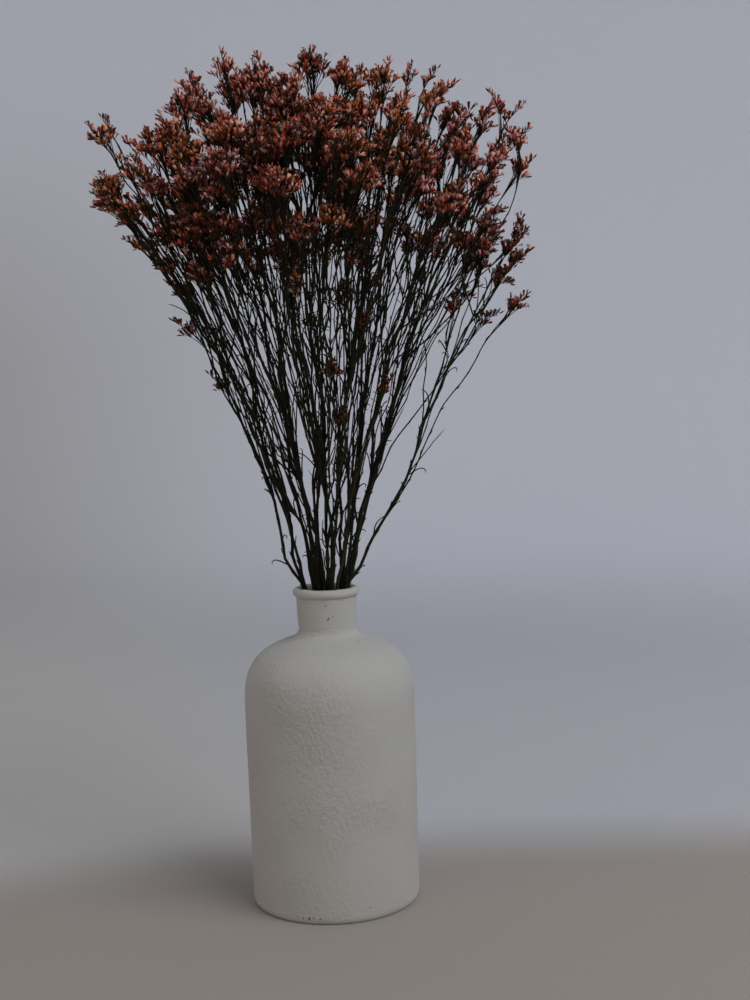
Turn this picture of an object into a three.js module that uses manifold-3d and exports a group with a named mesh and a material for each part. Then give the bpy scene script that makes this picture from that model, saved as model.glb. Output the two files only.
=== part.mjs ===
// A preserved bunch of statice in a matt white bottle vase.
// Millimetres, +Z up, front view along +Y; the origin is the middle of the vase's flat foot.
import * as THREE from 'three';
import Module from 'manifold-3d';

const wasm = await Module();
wasm.setup();

// Vase: an apothecary bottle of about one litre, 107 mm across and 198 mm tall
const FOOT_R = 50;
const FOOT_ROUND = 4.5;
const BODY_FOOT_R = 52.6;
const BODY_R = 53.6;
const SHOULDER = { startZ: 128, cornerZ: 152, slope: { r: 44, z: 160 }, end: { r: 20.2, z: 167.8 } };
const NECK_FOOT = { r: 18.4, z: 172 };
const NECK_TOP = { r: 19.2, z: 188.5 };
const RIM = { z: 194, thick: 2.85, high: 4, startAngle: -0.7 };
const LIP_Z = RIM.z + RIM.high;
const MOUTH_R = 15.5;
const WALL = 4;
const FLOOR_Z = 6;
const VASE_SIDES = 36;

// Sheaf: the stems fan out like a twisted sheaf, tight in the neck and open above and below it
const CLEAR = 0.3;
const STEM_FOOT_Z = FLOOR_Z + CLEAR;
const WAIST_Z = 176;
const WAIST_OPEN = 32;
const OPEN_BELOW = 0.42;
const TWIST = 0.5;
const TWIST_RISE = 110;
const HELD_LEAN = 0.44;
const FREE_Z = 400;
const SWAY = { low: 0.25, high: 1.9, perLean: [31, 37], rise: [17, 21] };

// Crown: a dome about a point in the neck
const CROWN_Z = 526;
const CROWN_R = 120;
const DOME_CENTRE_Z = 190;

// Where each of the 24 main stems ends: x to the right, y to the back, z up
const STEM_TIPS = [
  // The middle of the crown
  [2, -10, 502],
  // The ring round it, from the right by way of the back
  [60, 6, 500], [30, 58, 498], [-32, 56, 502], [-66, 10, 498], [-44, -46, 496], [2, -66, 490],
  [46, -48, 488],
  // The flanks: right and back
  [106, 8, 478], [98, 44, 458], [76, 76, 460], [42, 100, 458], [-2, 106, 466], [-44, 98, 460],
  [-78, 74, 456], [-102, 38, 446],
  // The flanks: left and front
  [-116, -4, 472], [-104, -42, 440], [-78, -78, 456], [-42, -98, 452], [2, -106, 450], [46, -98, 456],
  [82, -74, 444], [112, -34, 392],
];
// The stems of that list, counted from 0, that stand loose at the sides, and where they pass the lip
const LOOSE_STEMS = [17, 23];
const LOOSE_AT_LIP = 11.5;

// Main stems
const STEM_R = 1.15;
const STEM_TIP_R = 0.75;
const STEM_SIDES = 4;
const STEM_LOW_STATIONS = [STEM_FOOT_Z, 90, 150, WAIST_Z, LIP_Z + 8];
const NODES = 5;
const LOWEST_NODE = 0.22;

// Shoots: how thick, how far from the stem's tip across the crown, and how deep in the crown they end
const BRANCH = { radius: 0.7, spread: [17, 33], drop: [2, 34] };
const TWIG = { radius: 0.6, spread: [9, 30], drop: [30, 105] };
const LOW_TWIG = { radius: 0.6, spread: [4, 22], drop: [110, 190] };
const LOW_TWIG_SHARE = 0.4;
const SHOOT_SIDES = 3;
const SHOOT_STEPS = 2;
const SPREADING_POWER = 1.7;
const STEEPNESS = 1.25;
const SHORTEST_RISE = 18;
const GOLDEN_TURN = Math.PI * (3 - Math.sqrt(5));
const BRANCH_STRAY = 0.5;
const TWIG_TURN = [0.5, 1.5];
const ROLLS = [0, 0.2, -0.2, 0.4, -0.4, 0.6, -0.6];
const CLEAN_EDGE = 0.06;
const TRIES = 10;
const KEEP_APART = 1.1;
const PROBE_STEP = 4;
const FIRST_SEED = 7411;
const SEED_STEP = 613;

// Flower spikes: the upper faces of each nodding twig end are raised into ranks of florets
const SPIKE = { steps: 4, step: 5, radius: 0.75, reach: 4.2, nod: [0.15, 0.95], droop: 0.25 };
const LEFT_FLORET = { out: 2.5, forward: 5 };
const MIDDLE_FLORET = { out: 2.7, forward: 3.9 };
const RIGHT_FLORET = { out: 2.9, forward: 2.8 };
const FLORET_RANKS = {
  [SHOOT_SIDES]: [LEFT_FLORET, RIGHT_FLORET],
  [STEM_SIDES]: [LEFT_FLORET, MIDDLE_FLORET, RIGHT_FLORET],
};

const PAINT_COLOUR = 0xc9c5ba;
const SPRAY_COLOUR = 0x6a4034;

const { hypot, sin, cos, atan, atan2, tanh, sqrt, min, max, ceil, PI } = Math;

function draws(seed) {
  const modulus = 2147483647;
  let state = seed;
  return (low, high) => {
    state = (state * 48271) % modulus;
    return low + ((high - low) * state) / modulus;
  };
}

function ease(t) {
  const s = min(max(t, 0), 1);
  return s * s * (3 - 2 * s);
}

const mix = (a, b, t) => [a[0] + (b[0] - a[0]) * t, a[1] + (b[1] - a[1]) * t];

// A stem keeps one lean, a pair [u, v]: its place in the sheaf. `place` gives its point at a height.
const openAt = (z) => hypot(WAIST_OPEN, (z - WAIST_Z) * (z > WAIST_Z ? 1 : OPEN_BELOW));
const turnAt = (z) => TWIST * atan((z - WAIST_Z) / TWIST_RISE);

// The neck holds the outer stems in, and higher up they come free.
function heldShare(lean, z) {
  const held = lean > 0 ? (HELD_LEAN * tanh(lean / HELD_LEAN)) / lean : 1;
  return held + (1 - held) * ease((z - LIP_Z) / (FREE_Z - LIP_Z));
}

function place([u, v], z) {
  const open = openAt(z) * heldShare(hypot(u, v), z);
  const turn = turnAt(z);
  const sway = SWAY.low + (SWAY.high - SWAY.low) * ease((z - LIP_Z) / (CROWN_Z - LIP_Z));
  return new THREE.Vector3(
    open * (u * cos(turn) - v * sin(turn)) + sway * sin(SWAY.perLean[0] * u + z / SWAY.rise[0]),
    open * (u * sin(turn) + v * cos(turn)) + sway * cos(SWAY.perLean[1] * v + z / SWAY.rise[1]),
    z,
  );
}

// The lean of the stem that would reach a given point, found by repeated correction
function leanTo([x, y, z]) {
  const far = hypot(x, y);
  const angle = atan2(y, x) - turnAt(z);
  let lean = far / openAt(z);
  for (let i = 0; i < 8; i += 1) {
    lean = far / (openAt(z) * heldShare(lean, z));
  }
  return [lean * cos(angle), lean * sin(angle)];
}

// Every limb goes on from its last bare point as a flower spike that nods to one side.
function endInSpike(bareRun, radii, side, nod) {
  const points = [...bareRun];
  const way = points[points.length - 1].clone().sub(points[points.length - 2]).normalize();
  const pull = side.clone().setZ(-SPIKE.droop).multiplyScalar(nod / SPIKE.steps);
  for (let i = 0; i < SPIKE.steps; i += 1) {
    way.add(pull).normalize();
    points.push(points[points.length - 1].clone().addScaledVector(way, SPIKE.step));
  }
  return { points, radii: [...radii, ...Array(SPIKE.steps).fill(SPIKE.radius)], bare: bareRun.length, side };
}

// A loose stem leaves the others at the mouth and leans straight to its tip.
function looseLean(tip) {
  const end = new THREE.Vector3(...tip);
  const foot = place(leanTo(end), LIP_Z).setZ(0).setLength(LOOSE_AT_LIP).setZ(LIP_Z);
  return (z) => leanTo(foot.clone().lerp(end, max(z - LIP_Z, 0) / (end.z - LIP_Z)));
}

// A main stem runs straight between the nodes where its branches leave.
function mainStem(tip, nod, isLoose) {
  const lean = leanTo(tip);
  const leanAt = isLoose ? looseLean(tip) : () => lean;
  const firstZ = LIP_Z + (tip[2] - LIP_Z) * LOWEST_NODE;
  const nodes = Array.from({ length: NODES }, (_, i) => firstZ + ((tip[2] - firstZ) * i) / NODES);
  const points = [...STEM_LOW_STATIONS, ...nodes, tip[2]].map((z) => place(leanAt(z), z));
  const radii = points.map(({ z }) => STEM_R + (STEM_TIP_R - STEM_R) * ease((z - LIP_Z) / (tip[2] - LIP_Z)));
  const side = new THREE.Vector3(tip[0], tip[1], 0).normalize();
  return { ...endInSpike(points, radii, side, nod), nodes, leanAt };
}

// A shoot leaves its parent at one of its points and bends up beside it.
function shoot(parent, root, target, radius, nod) {
  const from = parent.leanAt(root.z);
  const to = leanTo(target);
  const leanAt = (z) => mix(from, to, 1 - (1 - (z - root.z) / (target[2] - root.z)) ** SPREADING_POWER);
  const points = [];
  for (let i = 0; i <= SHOOT_STEPS; i += 1) {
    const z = root.z + ((target[2] - root.z) * i) / SHOOT_STEPS;
    points.push(place(leanAt(z), z));
  }
  const side = points[SHOOT_STEPS].clone().sub(root).setZ(0).normalize();
  return { ...endInSpike(points, points.map(() => radius), side, nod), leanAt };
}

// Sprays keep apart: points along a new shoot are measured to every straight run of the others.
function runs({ points, radii, bare }) {
  return points.slice(1).map((b, i) => ({
    a: points[i],
    b,
    wide: i + 1 >= bare ? SPIKE.reach : radii[i],
  }));
}

function distanceToRun(p, { a, b }) {
  const ab = b.clone().sub(a);
  const t = min(max(p.clone().sub(a).dot(ab) / ab.lengthSq(), 0), 1);
  return p.distanceTo(a.clone().addScaledVector(ab, t));
}

function isClear(limb, others) {
  for (const { a, b, wide } of runs(limb)) {
    const probes = ceil(a.distanceTo(b) / PROBE_STEP);
    for (let i = 0; i <= probes; i += 1) {
      const p = a.clone().lerp(b, i / probes);
      if (others.some((run) => distanceToRun(p, run) < wide + run.wide + KEEP_APART)) {
        return false;
      }
    }
  }
  return true;
}

// Shoots end on the dome through their stem's tip, or `drop` inside it.
function domePoint(tip, angle, spread, drop) {
  const wanted = [tip[0] + spread * cos(angle), tip[1] + spread * sin(angle)];
  const [x, y] = wanted.map((side) => side * min(1, CROWN_R / hypot(...wanted)));
  const reach = hypot(tip[0], tip[1], tip[2] - DOME_CENTRE_Z) - drop;
  return [x, y, DOME_CENTRE_Z + sqrt(max(reach * reach - x * x - y * y, 0))];
}

function growShoot(spray, others, parent, root, kind, drawAngle) {
  const { tip, draw, limbs } = spray;
  for (let attempt = 0; attempt < TRIES; attempt += 1) {
    const target = domePoint(tip, drawAngle(draw), draw(...kind.spread), draw(...kind.drop));
    const nod = draw(...SPIKE.nod);
    const rise = target[2] - root.z;
    if (rise > max(STEEPNESS * hypot(target[0] - root.x, target[1] - root.y), SHORTEST_RISE)) {
      const limb = shoot(parent, root, target, kind.radius, nod);
      if (isClear(limb, others)) {
        limbs.push(limb);
        return;
      }
    }
  }
}

// Branches: one from each node of the stem, each turned on by the golden angle
function growBranches(spray, others) {
  const [stem] = spray.limbs;
  const start = spray.draw(0, 2 * PI);
  stem.nodes.forEach((z, i) => {
    const around = (draw) => start + GOLDEN_TURN * i + draw(-BRANCH_STRAY, BRANCH_STRAY);
    growShoot(spray, others, stem, place(stem.leanAt(z), z), BRANCH, around);
  });
}

// Twigs: one from the middle of each branch, deeper in the crown and to one side of it
function growTwigs(spray, others) {
  const { tip, limbs } = spray;
  for (const branch of limbs.slice(1)) {
    const [, middle, end] = branch.points;
    const away = atan2(end.y - tip[1], end.x - tip[0]);
    const aside = (draw) => away + draw(...TWIG_TURN) * (draw(0, 1) < 0.5 ? -1 : 1);
    growShoot(spray, others, branch, middle, TWIG, aside);
  }
}

// Some stems also flower low down, where the bunch is still open.
function growLowTwig(spray, others) {
  const [stem] = spray.limbs;
  if (spray.draw(0, 1) < LOW_TWIG_SHARE) {
    const [z] = stem.nodes;
    growShoot(spray, others, stem, place(stem.leanAt(z), z), LOW_TWIG, (draw) => draw(0, 2 * PI));
  }
}

function growBunch() {
  const sprays = STEM_TIPS.map((tip, i) => {
    const draw = draws(FIRST_SEED + SEED_STEP * i);
    return { tip, draw, limbs: [mainStem(tip, draw(...SPIKE.nod) / 2, LOOSE_STEMS.includes(i))] };
  });
  for (const growTier of [growBranches, growTwigs, growLowTwig]) {
    for (const spray of sprays) {
      const others = sprays.filter((other) => other !== spray).flatMap(({ limbs }) => limbs.flatMap(runs));
      growTier(spray, others);
    }
  }
  return sprays;
}

// One closed rod along a limb. Its faces are counted round it from the under side, which comes last
// and stays plain; past the bare run the others are raised into florets.
function rod({ points, radii, bare, side }, sides, roll) {
  const last = points.length - 1;
  const vertices = [];
  const faces = [];
  const corner = (i, k) => i * sides + (k % sides);
  const ways = points.map((_, i) =>
    points[min(i + 1, last)].clone().sub(points[max(i - 1, 0)]).normalize());
  for (let i = 0; i < last; i += 1) {
    const under = side.clone().addScaledVector(ways[i], -side.dot(ways[i])).normalize();
    const across = ways[i].clone().cross(under);
    for (let k = 0; k < sides; k += 1) {
      const angle = roll + ((k + 0.5) * 2 * PI) / sides;
      vertices.push(points[i].clone()
        .addScaledVector(under, radii[i] * cos(angle))
        .addScaledVector(across, radii[i] * sin(angle)));
    }
  }
  for (let k = 1; k < sides - 1; k += 1) {
    faces.push([0, k + 1, k]);
  }
  for (let i = 0; i < last - 1; i += 1) {
    for (let k = 0; k < sides; k += 1) {
      const [a, b, c, d] = [corner(i, k), corner(i, k + 1), corner(i + 1, k + 1), corner(i + 1, k)];
      if (i < bare - 1 || k === sides - 1) {
        faces.push([a, b, c], [a, c, d]);
      } else {
        vertices.push(floretTip([a, b, c, d].map((n) => vertices[n]), ways[i], FLORET_RANKS[sides][k]));
        const tip = vertices.length - 1;
        faces.push([a, b, tip], [b, c, tip], [c, d, tip], [d, a, tip]);
      }
    }
  }
  vertices.push(points[last]);
  for (let k = 0; k < sides; k += 1) {
    faces.push([corner(last - 1, k), corner(last - 1, k + 1), vertices.length - 1]);
  }
  return { vertices, faces };
}

function floretTip([a, b, c, d], way, { out, forward }) {
  const outward = c.clone().sub(a).cross(d.clone().sub(b)).normalize();
  const middle = a.clone().add(b).add(c).add(d).divideScalar(4);
  return middle.addScaledVector(outward, out).addScaledVector(way, forward);
}

function solidOf({ vertices, faces }) {
  const vertProperties = new Float32Array(vertices.flatMap((p) => p.toArray()));
  const triVerts = new Uint32Array(faces.flat());
  return new wasm.Manifold(new wasm.Mesh({ numProp: 3, vertProperties, triVerts }));
}

function shortestEdge(solid) {
  const { vertProperties, triVerts } = solid.getMesh();
  const corners = [...triVerts].map((n) => new THREE.Vector3().fromArray(vertProperties, 3 * n));
  return min(...corners.map((p, n) => p.distanceTo(corners[n % 3 === 2 ? n - 2 : n + 1])));
}

// A shoot is rolled about itself until it meets its parent without slivers.
function join(solid, limb) {
  let best = { edge: 0 };
  for (const roll of ROLLS) {
    const joined = solid.add(solidOf(rod(limb, SHOOT_SIDES, roll)));
    const edge = shortestEdge(joined);
    if (edge > best.edge) {
      best = { joined, edge };
    }
    if (edge > CLEAN_EDGE) {
      break;
    }
  }
  return best.joined;
}

// A spray is its main stem with all its shoots joined on, each rooted in the middle of its parent.
function sprayGeometry({ limbs: [stem, ...shoots] }) {
  const solid = shoots.reduce(join, solidOf(rod(stem, STEM_SIDES, 0)));
  const { vertProperties, triVerts } = solid.getMesh();
  const geometry = new THREE.BufferGeometry();
  geometry.setAttribute('position', new THREE.BufferAttribute(vertProperties, 3));
  geometry.setIndex(new THREE.BufferAttribute(triVerts, 1));
  geometry.computeVertexNormals();
  return geometry;
}

// The shoulder rounds over from the body and then slopes up to the neck.
function shoulderPoints(inset, steps) {
  const { startZ, cornerZ, slope, end } = SHOULDER;
  return new THREE.CubicBezierCurve(
    new THREE.Vector2(BODY_R - inset, startZ - inset / 2),
    new THREE.Vector2(BODY_R - inset, cornerZ - inset),
    new THREE.Vector2(slope.r - inset, slope.z - inset),
    new THREE.Vector2(end.r, end.z - inset),
  ).getPoints(steps);
}

// The vase is turned from one outline: up the outside, over the rolled rim and down the inside.
function vaseGeometry() {
  const at = (r, z) => new THREE.Vector2(r, z);
  const rim = new THREE.EllipseCurve(MOUTH_R + RIM.thick, RIM.z, RIM.thick, RIM.high, RIM.startAngle, PI);
  const [bodyEnd, shoulderMiddle] = shoulderPoints(WALL, 2);
  const outline = [
    at(0, 0),
    at(FOOT_R, 0),
    at(BODY_FOOT_R, FOOT_ROUND),
    ...shoulderPoints(0, 5),
    at(NECK_FOOT.r, NECK_FOOT.z),
    at(NECK_TOP.r, NECK_TOP.z),
    ...rim.getPoints(5),
    at(MOUTH_R, SHOULDER.end.z),
    shoulderMiddle,
    bodyEnd,
    at(BODY_FOOT_R - WALL, FLOOR_Z + FOOT_ROUND),
    at(FOOT_R - WALL, FLOOR_Z),
    at(0, FLOOR_Z),
  ];
  return new THREE.LatheGeometry(outline, VASE_SIDES).rotateX(PI / 2);
}

function finish(color, roughness) {
  return new THREE.MeshStandardMaterial({ color, roughness, metalness: 0 });
}

const object = new THREE.Group();

const vase = new THREE.Mesh(vaseGeometry(), finish(PAINT_COLOUR, 0.92));
vase.name = 'vase';
object.add(vase);

growBunch().forEach((spray, i) => {
  const mesh = new THREE.Mesh(sprayGeometry(spray), finish(SPRAY_COLOUR, 0.85));
  mesh.name = `spray_${String(i + 1).padStart(2, '0')}`;
  object.add(mesh);
});

export default object;
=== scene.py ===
import itertools
import math

import bpy
import numpy as np
from mathutils import Matrix, Vector


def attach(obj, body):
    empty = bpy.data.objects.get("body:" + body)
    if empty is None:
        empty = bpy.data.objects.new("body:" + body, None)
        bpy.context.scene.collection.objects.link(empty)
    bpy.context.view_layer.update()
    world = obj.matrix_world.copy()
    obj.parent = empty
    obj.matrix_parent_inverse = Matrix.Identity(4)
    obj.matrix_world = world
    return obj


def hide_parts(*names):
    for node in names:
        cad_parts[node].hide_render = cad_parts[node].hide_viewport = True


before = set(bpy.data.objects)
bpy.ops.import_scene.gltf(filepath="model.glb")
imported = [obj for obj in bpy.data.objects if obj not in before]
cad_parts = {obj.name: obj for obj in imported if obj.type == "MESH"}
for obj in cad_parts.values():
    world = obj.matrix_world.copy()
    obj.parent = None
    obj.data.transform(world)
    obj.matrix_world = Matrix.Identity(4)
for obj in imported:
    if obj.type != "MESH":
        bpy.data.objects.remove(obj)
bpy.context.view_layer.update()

# Camera: a 50 mm lens at about the height of the bunch's lower twigs, looking a little down and right.
CAMERA_PLACE = (0, -0.8643, 0.3185)
CAMERA_DOWN = math.radians(4.45)
CAMERA_RIGHT = math.radians(2.16)
CAMERA_ROLL = math.radians(-1.92)

camera = bpy.data.objects.new("camera", bpy.data.cameras.new("camera"))
camera.data.lens = 50
camera.data.sensor_width = 36
camera.matrix_world = (
    Matrix.Translation(CAMERA_PLACE)
    @ Matrix.Rotation(-CAMERA_RIGHT, 4, "Z")
    @ Matrix.Rotation(math.pi / 2 - CAMERA_DOWN, 4, "X")
    @ Matrix.Rotation(CAMERA_ROLL, 4, "Z")
)
bpy.context.scene.collection.objects.link(camera)
bpy.context.scene.camera = camera


# Studio: a plain pale floor that curves up all round into a plain wall, in one turned sheet with room
# inside it for every view. The floor is a warm grey round and before the vase and cooler further off,
# and painted shade makes the wall a little darker and warmer low on the left.
FLOOR_R = 1.7
SWEEP_R = 0.9
WALL_TOP = 2.6
STUDIO_SIDES, SWEEP_STEPS = 96, 24
FLOOR_COLOUR = (0.395, 0.352, 0.318, 1)
FAR_FLOOR_COLOUR = (0.56, 0.57, 0.605, 1)
WALL_COLOUR = (0.83, 0.84, 0.895, 1)
SHADED_LEFT_COLOUR = (0.60, 0.58, 0.555, 1)
WARM_MIDDLE, WARM_WITHIN, COOL_BEYOND = (0.1, -1.2, 0), 1.23, 1.36
WALL_FROM, WALL_BY = 0.75, 1.9
LEFT_FROM, LEFT_BY = 0.05, -0.45
LEFT_BELOW, LEFT_GONE = 0.35, 1.15
FLOOR_BELOW, FLOOR_GONE = 0.0, 0.35


def turned(outline, sides):
    """Vertices and faces of an outline of (r, z) pairs turned about Z. Its first lies on the axis."""
    radii, heights = np.asarray(outline, float).T
    rings = list(zip(radii, heights))[1:]
    turn = np.linspace(0, 2 * np.pi, sides, endpoint=False)
    around = np.stack([np.cos(turn), np.sin(turn)], axis=-1)
    vertices = [np.column_stack([r * around, np.full(sides, z)]) for r, z in rings]
    k = np.arange(sides)
    following = (k + 1) % sides
    faces = []
    for i in range(len(rings) - 1):
        low, high = i * sides, (i + 1) * sides
        faces += np.column_stack([low + k, low + following, high + following, high + k]).tolist()
    centre = len(rings) * sides
    vertices.append(np.array([[0, 0, heights[0]]]))
    faces += np.column_stack([following, k, np.full(sides, centre)]).tolist()
    return np.concatenate(vertices), faces


def shown(name, vertices, faces, material):
    """A smooth-shaded object in the scene."""
    mesh = bpy.data.meshes.new(name)
    mesh.from_pydata(np.asarray(vertices).tolist(), [], faces)
    mesh.shade_smooth()
    mesh.materials.append(material)
    made = bpy.data.objects.new(name, mesh)
    bpy.context.scene.collection.objects.link(made)
    return made


class Wire:
    """A shader socket that arithmetic can be written with: each sum or product adds its Math node."""

    def __init__(self, finish, socket):
        self.finish = finish
        self.socket = socket

    def maths(self, operation, *terms):
        return self.finish.node("ShaderNodeMath", {"operation": operation}, dict(enumerate(terms)))

    def __add__(self, other):
        return self.maths("ADD", self, other)

    def __sub__(self, other):
        return self.maths("SUBTRACT", self, other)

    def __rsub__(self, other):
        return self.maths("SUBTRACT", other, self)

    def __mul__(self, other):
        return self.maths("MULTIPLY", self, other)

    def __truediv__(self, other):
        return self.maths("DIVIDE", self, other)

    __radd__ = __add__
    __rmul__ = __mul__


class Finish:
    """A material named for what it finishes, with its one shader and the nodes before it."""

    def __init__(self, name, **constants):
        self.material = bpy.data.materials.new(name)
        self.material.use_nodes = True
        self.nodes = self.material.node_tree.nodes
        self.links = self.material.node_tree.links
        self.shader = self.nodes["Principled BSDF"]
        for socket, value in constants.items():
            self.shader.inputs[socket.replace("_", " ")].default_value = value

    def node(self, kind, settings, sockets, output=0):
        """Any node: its settings first, then the values and wires of its sockets."""
        made = self.nodes.new(kind)
        for name, value in settings.items():
            setattr(made, name, value)
        for key, value in sockets.items():
            if isinstance(value, Wire):
                self.links.new(value.socket, made.inputs[key])
            else:
                made.inputs[key].default_value = value
        return Wire(self, made.outputs[output])

    def blend(self, share, colour, other):
        """From one colour to another by a share."""
        return self.node("ShaderNodeMix", {"data_type": "RGBA"}, {0: share, 6: colour, 7: other}, 2)

    def feed(self, **wires):
        for socket, wire in wires.items():
            self.links.new(wire.socket, self.shader.inputs[socket.replace("_", " ")])


def place_of(finish):
    """Where on the object a point lies, in metres."""
    return finish.node("ShaderNodeTexCoord", {}, {}, 3)


sweep = [(FLOOR_R + SWEEP_R * math.sin(a), SWEEP_R * (1 - math.cos(a)))
         for a in np.linspace(0, math.pi / 2, SWEEP_STEPS)]
vertices, faces = turned([(0, 0), *sweep, (FLOOR_R + SWEEP_R, WALL_TOP)], STUDIO_SIDES)
studio_finish = Finish("studio_paper", Roughness=0.95)


def smooth_step(finish, value, low, high):
    """From 0 at the low value to 1 at the high one."""
    turned_over = low > high
    return finish.node("ShaderNodeMapRange", {"interpolation_type": "SMOOTHSTEP"}, {
        "Value": value, "From Min": min(low, high), "From Max": max(low, high),
        "To Min": float(turned_over), "To Max": float(not turned_over),
    })


spot = place_of(studio_finish)
far = studio_finish.node("ShaderNodeVectorMath", {"operation": "LENGTH"}, {0: spot}, 1)
x = studio_finish.node("ShaderNodeSeparateXYZ", {}, {0: spot}, 0)
z = studio_finish.node("ShaderNodeSeparateXYZ", {}, {0: spot}, 2)
on_wall = smooth_step(studio_finish, far, WALL_FROM, WALL_BY)
tint = studio_finish.blend(on_wall, FAR_FLOOR_COLOUR, WALL_COLOUR)
# Painted shade: the wall turns darker and warmer low on the left.
painted_left_shade = smooth_step(studio_finish, x / far, LEFT_FROM, LEFT_BY)
painted_left_shade = painted_left_shade * smooth_step(studio_finish, z, LEFT_GONE, LEFT_BELOW)
tint = studio_finish.blend(painted_left_shade, tint, SHADED_LEFT_COLOUR)
off = studio_finish.node("ShaderNodeVectorMath", {"operation": "DISTANCE"},
                         {0: spot, 1: WARM_MIDDLE}, 1)
near = smooth_step(studio_finish, off, COOL_BEYOND, WARM_WITHIN)
near = near * smooth_step(studio_finish, z, FLOOR_GONE, FLOOR_BELOW)
tint = studio_finish.blend(near, tint, FLOOR_COLOUR)
studio_finish.feed(Base_Color=tint)
studio = shown("studio", vertices, faces, studio_finish.material)

# Light: a large soft window on the right, in front and above, a weak warm one low on the left, and
# a dim cool room round them. Tones are shown as they are.
WINDOW_PLACE, WINDOW_SIZE, WINDOW_POWER = (1.35, -1.15, 1.85), 1.9, 24
WINDOW_COLOUR = (1.0, 0.995, 0.985)
LAMP_PLACE, LAMP_SIZE, LAMP_POWER = (-1.4, -0.95, 0.5), 0.9, 2.5
LAMP_COLOUR = (1.0, 0.74, 0.52)
ROOM_COLOUR = (0.86, 0.92, 1.0, 1)
ROOM_STRENGTH = 0.33
LIT_MIDDLE = Vector((0, 0, 0.3))


def soft_light(name, place, size, power, colour):
    """A round area light turned to the middle of the object."""
    light = bpy.data.objects.new(name, bpy.data.lights.new(name, "AREA"))
    light.data.shape = "DISK"
    light.data.size = size
    light.data.energy = power
    light.data.color = colour
    light.location = place
    light.rotation_euler = (LIT_MIDDLE - light.location).to_track_quat("-Z", "Y").to_euler()
    bpy.context.scene.collection.objects.link(light)


soft_light("window", WINDOW_PLACE, WINDOW_SIZE, WINDOW_POWER, WINDOW_COLOUR)
soft_light("lamp", LAMP_PLACE, LAMP_SIZE, LAMP_POWER, LAMP_COLOUR)
bpy.context.scene.view_settings.view_transform = "Standard"

room = bpy.data.worlds.new("room")
room.use_nodes = True
room.node_tree.nodes["Background"].inputs["Color"].default_value = ROOM_COLOUR
room.node_tree.nodes["Background"].inputs["Strength"].default_value = ROOM_STRENGTH
bpy.context.scene.world = room


# Vase: a bottle under a thick matt coat of chalky white paint, put on by hand with a coarse brush.
# It is turned from one outline: up the outside, over the rolled rim, and down inside to the floor.
# The paint stands in low ridges along the brush strokes, which run round the neck and up the body.
MM = 0.001
FOOT_R, FOOT_EDGE = 50, 4.5
BODY_FOOT_R, BODY_R, BODY_TOP = 52.6, 53.6, 128
NECK_R, NECK_FOOT, NECK_TOP = 18.1, 173, 192.4
NECK_TOP_R = 19.0
RIM_Z, RIM_HIGH, RIM_THICK, RIM_START = 195.1, 2.9, 2.7, -1.1
MOUTH_R = 15.5
WALL = 4
INNER_FLOOR = 6
VASE_SIDES = 216
SHOULDER = [(BODY_R, BODY_TOP), (BODY_R, 152), (44, 160), (24.5, 166.2)]
THROAT = [(24.5, 166.2), (19.2, 168), (NECK_R, 170.2), (NECK_R, NECK_FOOT)]
INNER_SHOULDER = [(MOUTH_R, 168), (20, 163), (BODY_R - WALL, 150), (BODY_R - WALL, 126)]

# The brush strokes slant up the body. The paint lies thick in an upright band that leans a little,
# and in patches.
STROKE_SLANT = 0.0064
BAND_AZIMUTH, BAND_LEAN, BAND_LEVEL, BAND_WIDE = 1.75, 0.006, 90, 0.5
BAND_FOOT, BAND_FOOT_RISE, BAND_HEAD, BAND_HEAD_FALL = 40, 35, 168, 25
LOAD_BASE, LOAD_IN_BAND, LOAD_IN_PATCHES, LEAST_LOAD = 0.20, 0.50, 0.45, 0.05
PATCH_CELL = 22

# The cells of the paint's relief and how far each kind stands out, in millimetres
RIDGE_CELL, RIDGE_SHARPNESS, RIDGE_HIGH = (5, 5, 70), 4.5, 0.15
RIDGED_CELL, RIDGED_GAIN, RIDGED_FROM = (16, 16, 40), 2.2, 0.35
LUMP_CELL, LUMP_HIGH = (2.3, 2.3, 3.4), 0.075
FINE_LUMP_CELL, FINE_LUMP_SHARE = 1.6, 0.6
ROUND_STROKE_CELL, ROUND_STROKE_HIGH = (17, 17, 1.1), 0.16
ROUND_FROM, ROUND_BY = 158, 168
SWELL_CELL, SWELL_HIGH = 34, 0.20
SMALL_SWELL_CELL, SMALL_SWELL_HIGH = 12, 0.12
RIM_LUMP_CELL, RIM_LUMP_HIGH = 6, 0.20
RIM_LUMPS_FROM, RIM_LUMPS_RISE = 191, 2
FOOT_FADE = 6


def bezier(corners, steps):
    """Points on a cubic curve, without its first."""
    a, b, c, d = np.asarray(corners, float)
    t = np.linspace(0, 1, steps + 1)[1:, None]
    return (1 - t) ** 3 * a + 3 * t * (1 - t) ** 2 * b + 3 * t * t * (1 - t) * c + t ** 3 * d


def straight(start, end, steps):
    return np.linspace(start, end, steps + 1)[1:]


def lattice_noise(points, seed):
    """Smooth noise from -1 to 1 at points (n, 3), with one cell of its lattice to the unit."""
    cell = np.floor(points).astype(np.int64)
    part = points - cell
    part = part * part * (3 - 2 * part)
    total = np.zeros(len(points))
    for corner in itertools.product((0, 1), repeat=3):
        x, y, z = (cell + corner).T
        mixed = (x * 73856093) ^ (y * 19349663) ^ (z * 83492791) ^ (seed * 2654435)
        mixed = (mixed ^ (mixed >> 13)) * 1274126177
        value = ((mixed >> 7) & 0xFFFF) / 0x7FFF - 1
        total += value * np.prod(np.where(corner, part, 1 - part), axis=1)
    return total


def twisted(points, per_mm):
    """Points turned about Z in step with their height, so that upright strokes come out slanting."""
    x, y, z = points.T
    cos, sin = np.cos(z * per_mm), np.sin(z * per_mm)
    return np.column_stack([x * cos - y * sin, x * sin + y * cos, z])


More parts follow.
